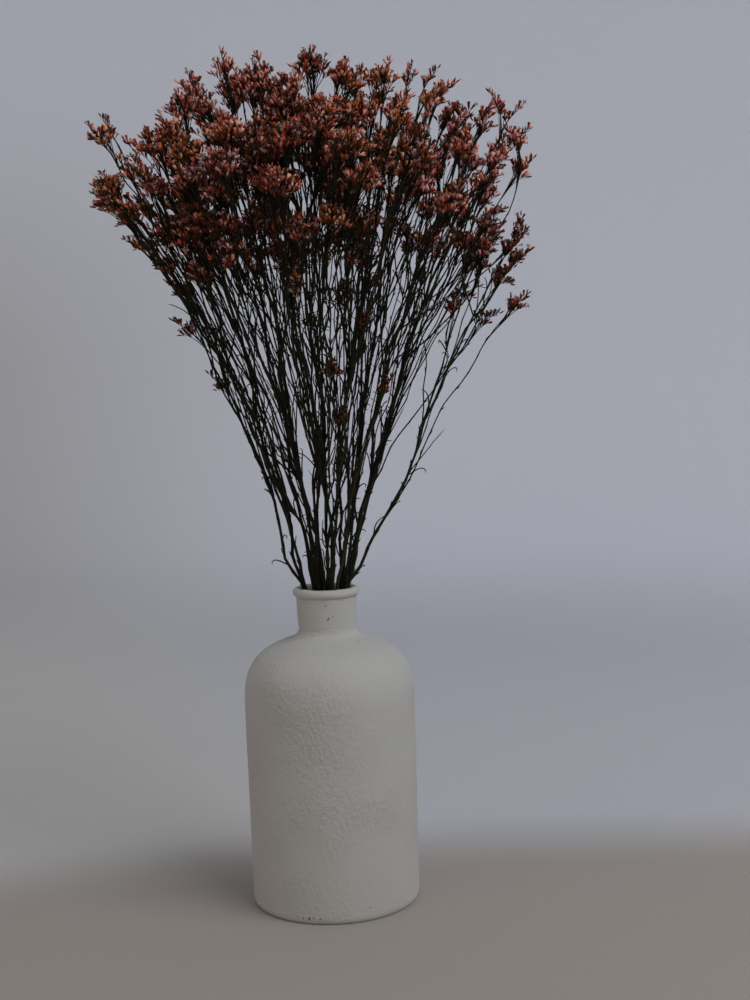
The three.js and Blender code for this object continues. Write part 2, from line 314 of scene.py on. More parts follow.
def paint_load(points):
    """Where the brush left the paint thick and rough, from 0 to 1."""
    x, y, z = points.T
    across = np.arctan2(y, x) + BAND_AZIMUTH + BAND_LEAN * (z - BAND_LEVEL)
    above_foot = np.clip((z - BAND_FOOT) / BAND_FOOT_RISE, 0, 1)
    below_head = np.clip((BAND_HEAD - z) / BAND_HEAD_FALL, 0, 1)
    band = np.exp(-(across / BAND_WIDE) ** 2) * above_foot * below_head
    patches = lattice_noise(points / PATCH_CELL, seed=15)
    return np.clip(LOAD_BASE + LOAD_IN_BAND * band + LOAD_IN_PATCHES * patches, LEAST_LOAD, 1)


def paint_relief(points):
    """How far the paint stands out, in millimetres."""
    z = points[:, 2]
    slanting = twisted(points, STROKE_SLANT)
    ridge = np.clip(1 - RIDGE_SHARPNESS * np.abs(lattice_noise(slanting / RIDGE_CELL, seed=11)), 0, 1)
    ridged = np.clip(RIDGED_GAIN * lattice_noise(slanting / RIDGED_CELL, seed=12) - RIDGED_FROM, 0, 1)
    fine_lumps = FINE_LUMP_SHARE * lattice_noise(points / FINE_LUMP_CELL, seed=18)
    lumps = lattice_noise(slanting / LUMP_CELL, seed=13) + fine_lumps
    round_strokes = lattice_noise(points / ROUND_STROKE_CELL, seed=14)
    on_neck = np.clip((z - ROUND_FROM) / (ROUND_BY - ROUND_FROM), 0, 1)
    upright = LUMP_HIGH * lumps + RIDGE_HIGH * ridge * ridged
    strokes = (1 - on_neck) * upright + on_neck * ROUND_STROKE_HIGH * round_strokes
    swell = SWELL_HIGH * lattice_noise(points / SWELL_CELL, seed=16)
    swell += SMALL_SWELL_HIGH * lattice_noise(points / SMALL_SWELL_CELL, seed=17)
    on_rim = np.clip((z - RIM_LUMPS_FROM) / RIM_LUMPS_RISE, 0, 1)
    rim = RIM_LUMP_HIGH * on_rim * lattice_noise(points / RIM_LUMP_CELL, seed=19)
    return np.clip(z / FOOT_FADE, 0, 1) * (strokes * paint_load(points) + swell + rim)


edge = [(FOOT_R + (BODY_FOOT_R - FOOT_R) * math.sin(a), FOOT_EDGE * (1 - math.cos(a)))
        for a in np.linspace(0, math.pi / 2, 8)[1:]]
over_rim = [(MOUTH_R + RIM_THICK * (1 + math.cos(a)), RIM_Z + RIM_HIGH * math.sin(a))
            for a in np.linspace(RIM_START, math.pi, 22)]
outside = np.concatenate([
    [(0, 0)],
    straight((0, 0), (FOOT_R - 1.5, 0), 6),
    straight((FOOT_R - 1.5, 0), (FOOT_R, 0), 1),
    edge,
    straight((BODY_FOOT_R, FOOT_EDGE), (BODY_R, BODY_TOP), 100),
    bezier(SHOULDER, 42),
    bezier(THROAT, 12),
    straight((NECK_R, NECK_FOOT), (NECK_TOP_R, NECK_TOP), 20),
    over_rim,
])
inside = np.concatenate([
    straight((MOUTH_R, RIM_Z), (MOUTH_R, 168), 8),
    bezier(INNER_SHOULDER, 12),
    straight((BODY_R - WALL, 126), (BODY_FOOT_R - WALL, INNER_FLOOR + FOOT_EDGE), 6),
    straight((BODY_FOOT_R - WALL, INNER_FLOOR + FOOT_EDGE), (FOOT_R - WALL, INNER_FLOOR), 3),
    straight((FOOT_R - WALL, INNER_FLOOR), (0.5, INNER_FLOOR), 4),
])
vertices, faces = turned(np.concatenate([outside, inside]), VASE_SIDES)
faces.append(list(range(len(vertices) - 1 - VASE_SIDES, len(vertices) - 1)))

# The relief stands along the outline's own outward direction.
slope = np.gradient(outside, axis=0)
outward = np.column_stack([slope[:, 1], -slope[:, 0]])
outward /= np.linalg.norm(outward, axis=1)[:, None]
coated = (len(outside) - 1) * VASE_SIDES
on_side = np.repeat(outward[1:], VASE_SIDES, axis=0)
turn = np.arctan2(vertices[:coated, 1], vertices[:coated, 0])
relief = paint_relief(vertices[:coated])[:, None]
vertices[:coated] += relief * np.column_stack(
    [on_side[:, 0] * np.cos(turn), on_side[:, 0] * np.sin(turn), on_side[:, 1]]
)

# Where the paint has chipped off, as a place on the vase in millimetres and a radius
CHIPS = [
    ((-0.8, -18.8, 188.3), 0.70),
    ((0.9, -18.4, 180.4), 0.75),
    ((0.2, -18.4, 179.4), 0.45),
    ((3.5, -18.1, 181.7), 0.45),
    ((18.5, -16.8, 166.0), 0.55),
    ((-24.6, -46.4, 4.2), 0.50),
    ((-20.8, -48.2, 4.0), 0.60),
    ((-17.2, -49.6, 4.1), 0.95),
    ((-14.6, -50.4, 4.3), 0.70),
    ((-10.6, -51.4, 4.0), 0.60),
    ((19.5, -48.9, 8.8), 0.60),
    ((-7.5, -52.9, 102.0), 0.35),
    ((31.0, 43.2, 18.0), 0.90),
    ((-12.0, 13.9, 180.0), 0.70),
]

paint = Finish("chalk_paint", Roughness=0.93, Specular_IOR_Level=0.25)
spot = place_of(paint)


def noise_on(finish, scale, detail, stretch=(1, 1, 1), turned_by=0):
    """Noise on the object, finer along one way than another, and slanting if turned with height."""
    at = place_of(finish)
    if turned_by:
        angle = finish.node("ShaderNodeSeparateXYZ", {}, {0: at}, 2) * turned_by
        at = finish.node("ShaderNodeVectorRotate", {"rotation_type": "Z_AXIS"},
                         {"Vector": at, "Angle": angle})
    at = finish.node("ShaderNodeVectorMath", {"operation": "MULTIPLY"}, {0: at, 1: stretch})
    return finish.node("ShaderNodeTexNoise", {}, {"Vector": at, "Scale": scale, "Detail": detail})


def mark_of(finish, name):
    """The number of that name at the mesh's vertices."""
    return finish.node("ShaderNodeAttribute", {"attribute_name": name}, {}, 2)


def bump(finish, height, strength, distance):
    """Relief too fine for the mesh."""
    sockets = {"Strength": strength, "Distance": distance, "Height": height}
    finish.feed(Normal=finish.node("ShaderNodeBump", {}, sockets))


CHALK, PALE_CHALK = (0.468, 0.463, 0.437, 1), (0.525, 0.525, 0.502, 1)
SHADED_HOLLOW_CHALK, CLOUDED_CHALK = (0.37, 0.365, 0.335, 1), (0.45, 0.415, 0.365, 1)
BARE_BODY = (0.11, 0.105, 0.10, 1)
RAGGEDNESS, BARE_FROM = 3, 0.25

chipped = None
for centre, radius in CHIPS:
    off = paint.node("ShaderNodeVectorMath", {"operation": "DISTANCE"},
                     {0: spot, 1: [side * MM for side in centre]}, 1)
    chip = 1 - off / (radius * MM)
    chipped = chip if chipped is None else chip.maths("MAXIMUM", chip, chipped)
ragged = noise_on(paint, 1700, 3)
chipped = chipped + (ragged - 0.5) * RAGGEDNESS
bare = chipped.maths("GREATER_THAN", chipped, BARE_FROM)

slanting = noise_on(paint, 1, 3, (520, 520, 60), STROKE_SLANT / MM)
rounding = noise_on(paint, 1, 3, (60, 60, 1100))
z = paint.node("ShaderNodeSeparateXYZ", {}, {0: spot}, 2)
on_neck = paint.node("ShaderNodeMapRange", {}, {
    "Value": z, "From Min": ROUND_FROM * MM, "From Max": ROUND_BY * MM,
})
strokes = slanting * (1 - on_neck) + rounding * on_neck
load = mark_of(paint, "load")
sand = noise_on(paint, 1150, 4)
lumps = noise_on(paint, 360, 3)
cloud = noise_on(paint, 24, 3)
soft_cloud = noise_on(paint, 9, 2)

chalk = paint.blend(cloud, CHALK, PALE_CHALK)
# Painted shade: the chalk is darker in the hollows between the lumps of the relief, the more so where
# the paint lies thick.
chalk = paint.blend((0.60 - lumps) * load * 1.4, chalk, SHADED_HOLLOW_CHALK)
chalk = paint.blend((soft_cloud - 0.45) * 0.9, chalk, CLOUDED_CHALK)
paint.feed(Base_Color=paint.blend(bare, chalk, BARE_BODY))
coat = (strokes * (0.5 + on_neck * 0.6) + sand * 0.55 + lumps * 1.0) * (load + 0.25) - bare * 0.6
bump(paint, coat, strength=1, distance=0.0009)

vase = shown("vase_painted", vertices * MM, faces, paint.material)
loads = np.zeros(len(vertices), np.float32)
loads[:coated] = paint_load(vertices[:coated])
vase.data.attributes.new("load", "FLOAT", "POINT").data.foreach_set("value", loads)
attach(vase, "root")
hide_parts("vase")


# Sheaf: 24 cut stems stand on the vase's floor, come together in the neck, and fan out above it.
# A stem keeps one lean, its place in the sheaf, and sways a little. Its shoots bend up beside it.
STEM_FOOT_Z = 6.3
WAIST_Z, WAIST_OPEN, OPEN_BELOW = 176, 32, 0.42
TWIST, TWIST_RISE = 0.5, 110
LIP_Z, FREE_Z = 198, 400
HELD_LEAN = 0.44
SWAY_LOW, SWAY_HIGH = 0.25, 1.9
SWAY_PER_LEAN, SWAY_RISE = (31, 37), (17, 21)
CROWN_Z, CROWN_R, DOME_CENTRE_Z = 526, 120, 190


def draws(seed):
    """A seeded source of numbers between two bounds."""
    state = seed

    def draw(low, high):
        nonlocal state
        state = state * 48271 % 2147483647
        return low + (high - low) * state / 2147483647

    return draw


def ease(t):
    t = np.clip(t, 0, 1)
    return t * t * (3 - 2 * t)


def open_at(z):
    return np.hypot(WAIST_OPEN, (z - WAIST_Z) * np.where(z > WAIST_Z, 1, OPEN_BELOW))


def turn_at(z):
    return TWIST * np.arctan((z - WAIST_Z) / TWIST_RISE)


def held_share(lean, z):
    """The neck holds the outer stems in, and higher up they come free."""
    lean = np.maximum(lean, 1e-9)
    held = HELD_LEAN * np.tanh(lean / HELD_LEAN) / lean
    return held + (1 - held) * ease((z - LIP_Z) / (FREE_Z - LIP_Z))


def place(lean, z):
    """The points of a lean (u, v), or of leans (n, 2), at heights z."""
    u, v = lean[..., 0], lean[..., 1]
    width = open_at(z) * held_share(np.hypot(u, v), z)
    turn = turn_at(z)
    sway = SWAY_LOW + (SWAY_HIGH - SWAY_LOW) * ease((z - LIP_Z) / (CROWN_Z - LIP_Z))
    sway_x = sway * np.sin(SWAY_PER_LEAN[0] * u + z / SWAY_RISE[0])
    sway_y = sway * np.cos(SWAY_PER_LEAN[1] * v + z / SWAY_RISE[1])
    x = width * (u * np.cos(turn) - v * np.sin(turn)) + sway_x
    y = width * (u * np.sin(turn) + v * np.cos(turn)) + sway_y
    return np.stack([x, y, np.broadcast_to(z, np.shape(x))], axis=-1)


def lean_to(points):
    """The lean of a stem that reaches a point, or the leans that reach points, found step by step."""
    x, y, z = np.moveaxis(np.asarray(points, float), -1, 0)
    far = np.hypot(x, y)
    angle = np.arctan2(y, x) - turn_at(z)
    lean = far / open_at(z)
    for _ in range(8):
        lean = far / (open_at(z) * held_share(lean, z))
    return lean[..., None] * np.stack([np.cos(angle), np.sin(angle)], axis=-1)


# Where the main stems end: the middle of the crown and the ring round it, the flanks at the right and
# back, and the flanks at the left and front. Two of them stand loose at the sides.
STEM_TIPS = [
    (2, -10, 502), (60, 6, 500), (30, 58, 498), (-32, 56, 502), (-66, 10, 498), (-44, -46, 496),
    (2, -66, 490), (46, -48, 488),
    (106, 8, 478), (98, 44, 458), (76, 76, 460), (42, 100, 458), (-2, 106, 466), (-44, 98, 460),
    (-78, 74, 456), (-102, 38, 446),
    (-116, -4, 472), (-104, -42, 440), (-78, -78, 456), (-42, -98, 452), (2, -106, 450), (46, -98, 456),
    (82, -74, 444), (112, -34, 392),
]
LOOSE_STEMS = (17, 23)
LOOSE_AT_LIP = 11.5
STEM_R, STEM_TIP_R = 1.15, 0.75
LOW_STATIONS = [STEM_FOOT_Z, 90, 150, WAIST_Z, LIP_Z + 8]
NODES, LOWEST_NODE = 5, 0.22
BRANCH = {"radius": 0.7, "spread": (17, 33), "drop": (2, 34)}
TWIG = {"radius": 0.6, "spread": (9, 30), "drop": (30, 105)}
LOW_TWIG = {"radius": 0.6, "spread": (4, 22), "drop": (110, 190)}
LOW_TWIG_SHARE = 0.4
SPREADING_POWER, STEEPNESS, SHORTEST_RISE = 1.7, 1.25, 18
GOLDEN_TURN = math.pi * (3 - math.sqrt(5))
BRANCH_STRAY = 0.5
TWIG_TURN = (0.5, 1.5)
TRIES, KEEP_APART, PROBE_STEP = 10, 1.1, 4
SPIKE_STEPS, SPIKE_STEP, SPIKE_REACH, SPIKE_DROOP = 4, 5, 4.2, 0.25
SPIKE_NOD = (0.15, 0.95)
FIRST_SEED, SEED_STEP = 7411, 613


def unit(v):
    return v / np.linalg.norm(v, axis=-1, keepdims=True)


class Limb:
    """A stem or shoot: a bare run that goes on as a nodding spike, with the way that it leans."""

    def __init__(self, run, radii, side, nod, lean_at):
        self.run = np.asarray(run)
        self.lean_at = lean_at
        self.side = side
        self.radii = radii
        way = unit(self.run[-1] - self.run[-2])
        pull = np.array([side[0], side[1], -SPIKE_DROOP]) * nod / SPIKE_STEPS
        spike = [self.run[-1]]
        for _ in range(SPIKE_STEPS):
            way = unit(way + pull)
            spike.append(spike[-1] + way * SPIKE_STEP)
        self.spike = np.array(spike)

    def stretches(self):
        """Each straight stretch as its two ends and how wide it is."""
        points = np.concatenate([self.run, self.spike[1:]])
        wide = np.where(np.arange(1, len(points)) >= len(self.run), SPIKE_REACH, 0)
        wide[:len(self.run) - 1] = self.radii[:-1]
        return points[:-1], points[1:], wide


def loose_lean(tip):
    """The lean, at each height, of a stem that leaves the others at the mouth and leans to its tip."""
    end = np.array(tip, float)
    at_lip = place(lean_to(end), LIP_Z)[:2]
    foot = np.append(at_lip * LOOSE_AT_LIP / np.hypot(*at_lip), LIP_Z)

    def lean_at(z):
        share = np.maximum(np.asarray(z) - LIP_Z, 0) / (end[2] - LIP_Z)
        return lean_to(foot + (end - foot) * share[..., None])

    return lean_at


def even_lean(tip):
    """The one lean of a stem that keeps its place in the sheaf all the way to its tip."""
    lean = lean_to(tip)
    return lambda z: lean + 0 * np.asarray(z)[..., None]


def main_stem(tip, nod, is_loose):
    lean_at = loose_lean(tip) if is_loose else even_lean(tip)
    first = LIP_Z + (tip[2] - LIP_Z) * LOWEST_NODE
    nodes = [first + (tip[2] - first) * i / NODES for i in range(NODES)]
    heights = np.array([*LOW_STATIONS, *nodes, tip[2]])
    radii = STEM_R + (STEM_TIP_R - STEM_R) * ease((heights - LIP_Z) / (tip[2] - LIP_Z))
    side = unit(np.array([tip[0], tip[1], 0.0]))
    stem = Limb(place(lean_at(heights), heights), radii, side, nod, lean_at)
    stem.nodes = nodes
    return stem


def shoot(parent, root, target, radius, nod):
    start, end = parent.lean_at(root[2]), lean_to(target)

    def lean_at(z):
        part = (np.asarray(z) - root[2]) / (target[2] - root[2])
        share = 1 - np.maximum(1 - part, 0) ** SPREADING_POWER
        return start + (end - start) * share[..., None]

    heights = root[2] + (target[2] - root[2]) * np.array([0, 0.5, 1])
    run = place(lean_at(heights), heights)
    side = unit((run[2] - root) * (1, 1, 0))
    return Limb(run, np.full(3, radius), side, nod, lean_at)


def is_clear(limb, starts, ends, wide):
    """Sprays keep apart: points along a new shoot are measured to every stretch of the others."""
    along = ends - starts
    square = np.sum(along * along, axis=1)
    for a, b, own in zip(*limb.stretches()):
        probes = math.ceil(np.linalg.norm(b - a) / PROBE_STEP)
        points = a + (b - a) * np.linspace(0, 1, probes + 1)[:, None]
        offset = points[:, None] - starts
        part = np.clip(np.sum(offset * along, axis=2) / square, 0, 1)
        far = np.linalg.norm(offset - part[..., None] * along, axis=2)
        if np.any(far < own + wide + KEEP_APART):
            return False
    return True


def dome_point(tip, angle, spread, drop):
    """A place on the dome through a stem's tip, or inside it."""
    wanted = np.array([tip[0] + spread * math.cos(angle), tip[1] + spread * math.sin(angle)])
    x, y = wanted * min(1, CROWN_R / np.hypot(*wanted))
    reach = math.sqrt(tip[0] ** 2 + tip[1] ** 2 + (tip[2] - DOME_CENTRE_Z) ** 2) - drop
    return np.array([x, y, DOME_CENTRE_Z + math.sqrt(max(reach * reach - x * x - y * y, 0))])


class Spray:
    """One plant stem with its limbs, the first of which is the main stem."""

    def __init__(self, number, tip):
        self.name = f"spray_{number:02d}"
        self.tip = tip
        self.draw = draws(FIRST_SEED + SEED_STEP * (number - 1))
        self.limbs = [main_stem(tip, self.draw(*SPIKE_NOD) / 2, number - 1 in LOOSE_STEMS)]

    def grow_shoot(self, others, parent, root, kind, draw_angle):
        for _ in range(TRIES):
            angle = draw_angle()
            target = dome_point(self.tip, angle, self.draw(*kind["spread"]), self.draw(*kind["drop"]))
            nod = self.draw(*SPIKE_NOD)
            across = math.hypot(target[0] - root[0], target[1] - root[1])
            if target[2] - root[2] > max(STEEPNESS * across, SHORTEST_RISE):
                limb = shoot(parent, root, target, kind["radius"], nod)
                if is_clear(limb, *others):
                    self.limbs.append(limb)
                    return

    def grow_branches(self, others):
        stem = self.limbs[0]
        start = self.draw(0, 2 * math.pi)
        for i, z in enumerate(stem.nodes):
            self.grow_shoot(others, stem, place(stem.lean_at(z), z), BRANCH,
                            lambda: start + GOLDEN_TURN * i + self.draw(-BRANCH_STRAY, BRANCH_STRAY))

    def grow_twigs(self, others):
        for branch in self.limbs[1:]:
            end = branch.run[2]
            away = math.atan2(end[1] - self.tip[1], end[0] - self.tip[0])
            self.grow_shoot(others, branch, branch.run[1], TWIG,
                            lambda: away + self.draw(*TWIG_TURN) * (-1 if self.draw(0, 1) < 0.5 else 1))

    def grow_low_twig(self, others):
        stem = self.limbs[0]
        if self.draw(0, 1) < LOW_TWIG_SHARE:
            z = stem.nodes[0]
            self.grow_shoot(others, stem, place(stem.lean_at(z), z), LOW_TWIG,
                            lambda: self.draw(0, 2 * math.pi))


sprays = [Spray(i + 1, tip) for i, tip in enumerate(STEM_TIPS)]
for grow_tier in (Spray.grow_branches, Spray.grow_twigs, Spray.grow_low_twig):
    for spray in sprays:
        stretches = [limb.stretches() for other in sprays if other is not spray for limb in other.limbs]
        grow_tier(spray, [np.concatenate(part) for part in zip(*stretches)])


# Stems, branches and twigs: dark dried stalks, olive below and browner above, a little bent at each
# node, where a small pointed scale clasps them. They are round, and taper from 2 mm to 0.5 mm.
# Fine side twigs fill each spray, and low on the stems are bare curling ones that never flowered.
STEP = 6
SLIM_HEIGHTS, SLIMNESS = (LIP_Z, 300, 430), (0.92, 0.70, 0.60)
SCALE_SPACING = (11, 19)
SCALE_LENGTH, SCALE_SINK = (1.6, 3.2), 0.4
NODE_LENGTH, NODE_SWELLING = 1.1, 0.22
BEND, BEND_VARIES, BEND_TURNS, LEAST_PART = 0.75, (0.5, 1.2), 0.6, 0.4
STEM_SIDES, TWIG_SIDES = 6, 4
STEM_AGE, TWIG_AGE, BARE_AGE, TIP_AGE = 0.0, 0.35, 0.4, 0.85
TIP_R = 0.28
SWAY_APART = (0.8, 2.6)
EXTRA_TWIGS = 10
EXTRA_TWIG = {"radius": 0.5, "spread": (4, 32), "drop": (4, 150), "from stem": 0.5,
              "leaves at": (0.05, 0.6), "lowest varies": 60, "run beside": 40}
LOWEST_TWIG_Z = 226
OUTLINE_HEIGHTS, OUTLINE_R = (300, 348, 379, 436, 474), (56, 84, 104, 126, 131)
CURL = {"length": (8, 28), "leaving": (0.5, 1.2), "curl": (0.3, 1.2), "heights": (206, 400),
        "radius": 0.48}
THREAD = {"length": (35, 90), "leaving": (0.15, 0.45), "curl": (0.0, 0.4), "heights": (225, 350),
          "radius": 0.46}
CURLS, THREADS, BARE_FROM_STEM = 11, 3, 0.6
BARE_STEPS, BARE_JITTER, AXIS_JITTER = 12, 0.07, 0.4
UPTURN = 0.16
LONGEST_OUTWARD = 18
FORKED_SHARE, FORK_STEPS, FORK_SPREAD, FORK_TIP_R = 0.45, 5, 0.8, 0.18
FORK_SHARE, LONGEST_FORK, FORK_RISE = 0.28, 9, 1.5

# Across the mouth the stems crowd into bundles, the largest on the right. Above it they wander off
# unevenly and draw in, more on the left, and the two loose ones have a knee. Below it they find room
# in the neck.
EVEN_X = (-12, -10, -9.6, -3, -1.2, 4.6, 5, 12)
CROWDED_X = (-13.6, -12.2, -8, -1.2, 2.2, 6.9, 9, 14.4)
CROWD_HEIGHTS, CROWDING = (150, 190, LIP_Z, 260, 350), (0, 1, 1, 0.6, 0)
WANDER_CELL = (13, 13, 70)
WANDER_HEIGHTS, WANDER_AMOUNTS = (150, LIP_Z, 250, 420), (0, 1.0, 4.4, 3)
WANDER_SEEDS = (41, 42)
DRAWN_HEIGHTS = (LIP_Z, 310, 380, 440)
DRAWN_LEFT, DRAWN_RIGHT = (1, 0.88, 0.90, 0.99), (1, 0.95, 0.97, 1)
ROOM_HEIGHTS, ROOM = (150, 166, LIP_Z, LIP_Z + 14, LIP_Z + 15), (500, 13.9, 13.9, 25, 500)
KNEES = [((198, 217, 236, 256, 300), (0, 4, 0, -3.6, 0)), ((198, 218, 270, 340), (1.5, 4.2, 4.0, 0))]
KNEE_REACH = 8


def wander(points):
    """Points of the even sheaf, moved to where the stems really run."""
    z = points[:, 2]
    spread = open_at(z) / open_at(LIP_Z)
    even = points[:, 0] / spread
    crowded = np.interp(even, EVEN_X, np.subtract(CROWDED_X, EVEN_X))
    cells = points / WANDER_CELL
    drift = np.column_stack([lattice_noise(cells, seed) for seed in WANDER_SEEDS])
    flat = points[:, :2] + drift * np.interp(z, WANDER_HEIGHTS, WANDER_AMOUNTS)[:, None]
    flat[:, 0] += crowded * spread * np.interp(z, CROWD_HEIGHTS, CROWDING)
    flat[:, 0] *= np.where(flat[:, 0] < 0, np.interp(z, DRAWN_HEIGHTS, DRAWN_LEFT),
                           np.interp(z, DRAWN_HEIGHTS, DRAWN_RIGHT))
    for loose, (heights, shifts) in zip(LOOSE_STEMS, KNEES):
        kneed = place(sprays[loose].limbs[0].lean_at(z), z)[:, :2]
        near = np.exp(-np.sum(((points[:, :2] - kneed) / KNEE_REACH) ** 2, axis=1))
        flat += unit(kneed) * (near * np.interp(z, heights, shifts))[:, None]
    room = np.interp(z, ROOM_HEIGHTS, ROOM)
    flat *= np.minimum(1, room / np.maximum(np.hypot(*flat.T), 1e-9))[:, None]
    return np.column_stack([flat, z])


class Gathered:
    """Small closed meshes gathered into one piece, with named numbers at their vertices."""

    def __init__(self):
        self.vertices = []
        self.faces = []
        self.marks = {}
        self.count = 0

    def add(self, vertices, faces, **marks):
        self.vertices.append(vertices)
        self.faces.append(faces + self.count)
        self.count += len(vertices)
        for name, mark in marks.items():
            self.marks.setdefault(name, []).append(np.broadcast_to(mark, len(vertices)))

    def piece(self, name, node, slot, material):
        vertices = np.concatenate(self.vertices) * MM
        made = shown(name, vertices, np.concatenate(self.faces).tolist(), material)
        for mark, parts in self.marks.items():
            values = np.concatenate(parts).astype(np.float32)
            made.data.attributes.new(mark, "FLOAT", "POINT").data.foreach_set("value", values)
        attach(made, "root")
        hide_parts(node)
        return made


def rod(points, radii, sides):
    """A closed round rod along points that ends in a tip."""
    ways = unit(np.gradient(points, axis=0))
    side = unit(np.cross(ways[0], (0.3, 0.2, 0.93) if abs(ways[0][2]) < 0.8 else (1, 0.1, 0)))
    sides_at = np.empty_like(ways)
    for i, way in enumerate(ways):
        side = side - way * np.dot(side, way)
        side = side / math.sqrt(np.dot(side, side))
        sides_at[i] = side
    across = np.cross(ways, sides_at)
    turn = np.arange(sides) * 2 * np.pi / sides
    ring = np.cos(turn)[:, None] * sides_at[:-1, None] + np.sin(turn)[:, None] * across[:-1, None]
    body = points[:-1, None] + ring * np.asarray(radii)[:-1, None, None]
    vertices = np.concatenate([body.reshape(-1, 3), points[-1:]])
    return vertices, rod_faces(len(points) - 1, sides)


rod_face_store = {}


def rod_faces(rings, sides):
    if (rings, sides) not in rod_face_store:
        k = np.arange(sides)
        following = (k + 1) % sides
        faces = [np.column_stack([np.zeros(sides - 2, int), k[2:], k[1:-1]])]
        for i in range(rings - 1):
            low, high = i * sides, (i + 1) * sides
            faces.append(np.column_stack([low + k, low + following, high + following]))
            faces.append(np.column_stack([low + k, high + following, high + k]))
        low = (rings - 1) * sides
        faces.append(np.column_stack([low + k, low + following, np.full(sides, rings * sides)]))
        rod_face_store[rings, sides] = np.concatenate(faces)
    return rod_face_store[rings, sides]


def smooth_through(points, parts):
    """A rounded line through points, with so many parts between each two."""
    ends = np.concatenate([[2 * points[0] - points[1]], points, [2 * points[-1] - points[-2]]])
    t = np.arange(parts)[:, None] / parts
    line = []
    for a, b, c, d in zip(ends, ends[1:], ends[2:], ends[3:]):
        line.append(0.5 * (2 * b + (c - a) * t + (2 * a - 5 * b + 4 * c - d) * t ** 2
                           + (3 * b - a - 3 * c + d) * t ** 3))
    return np.concatenate([*line, points[-1:]])


def lengths_along(line):
    return np.concatenate([[0], np.cumsum(np.linalg.norm(np.diff(line, axis=0), axis=1))])


def at_lengths(line, lengths, wanted):
    """The points of a line at wanted lengths along it."""
    return np.stack([np.interp(wanted, lengths, line[:, n]) for n in range(3)], axis=-1)


def bent(points, rng, amount):
    """A line whose nodes step a little to one side and the other, with the places of those nodes."""
    lengths = lengths_along(points)
    places = [0]
    while places[-1] < lengths[-1] - SCALE_SPACING[0]:
        places.append(places[-1] + rng.uniform(*SCALE_SPACING))
    places[-1] = lengths[-1]
    count = len(places)
    angle = rng.uniform(0, 2 * np.pi) + np.pi * np.arange(count) + rng.normal(0, BEND_TURNS, count)
    sideways = amount * rng.uniform(*BEND_VARIES, count)
    sideways[0] = sideways[-1] = 0
    stations = np.union1d(lengths, places)
    line = at_lengths(points, lengths, stations)
    line[:, 0] += np.interp(stations, places, sideways * np.cos(angle))
    line[:, 1] += np.interp(stations, places, sideways * np.sin(angle))
    keep = np.concatenate([[True], np.diff(stations) > LEAST_PART])
    keep[-1] = True
    return line[keep], np.array(places)[1:-1], stations[keep]


def bowed(points, rng):
    """A shoot's line bowed a little to one side between its two ends, away from its stem."""
    share = np.linspace(0, 1, len(points))
    angle = rng.uniform(0, 2 * np.pi)
    bow = rng.uniform(*SWAY_APART) * np.sin(np.pi * share ** 0.6)
    return points + bow[:, None] * (math.cos(angle), math.sin(angle), 0)


SCALE_FACES = np.array([[0, 2, 1], [0, 1, 3], [1, 2, 3], [2, 0, 3]])


def add_scale(stalks, at, way, radius, rng):
    """A pointed scale that clasps a stalk below a node."""
    out = unit(np.cross(way, rng.normal(0, 1, 3)))
    across = np.cross(way, out)
    long = rng.uniform(*SCALE_LENGTH)
    wide = radius * 1.15
    vertices = np.array([
        at + out * radius * SCALE_SINK - across * wide - way * 0.6,
        at + out * radius * SCALE_SINK + across * wide - way * 0.6,
        at + out * (radius + 0.45) - way * 0.2,
        at + out * (radius + 0.5 + long * 0.22) + way * long,
    ])
    stalks.add(vertices, SCALE_FACES, age=TIP_AGE, tone=rng.uniform(0, 1))


def add_stalk(stalks, line, radii, sides, rng, age):
    """A stalk along a line, with its bends and scales."""
    stalk, nodes, stations = bent(line, rng, BEND)
    thick = np.interp(stations, lengths_along(line), radii)
    swollen = sum(np.exp(-((stations - node) / NODE_LENGTH) ** 2) for node in nodes)
    vertices, faces = rod(stalk, thick * (1 + NODE_SWELLING * swollen), sides)
    share = np.append(np.repeat(stations[:-1], sides), stations[-1]) / stations[-1]
    stalks.add(vertices, faces, age=age[0] + (age[1] - age[0]) * share, tone=rng.uniform(0, 1))
    ways = unit(np.gradient(stalk, axis=0))
    for node in nodes:
        i = int(np.searchsorted(stations, node))
        add_scale(stalks, stalk[i], ways[i], thick[i], rng)
    return stalk


def parent_in(spray, stem_share, rng):
    """The limb that a new twig leaves: with that share the stem, or else any."""
    if rng.uniform() < stem_share:
        return spray.limbs[0]
    return spray.limbs[rng.integers(0, len(spray.limbs))]


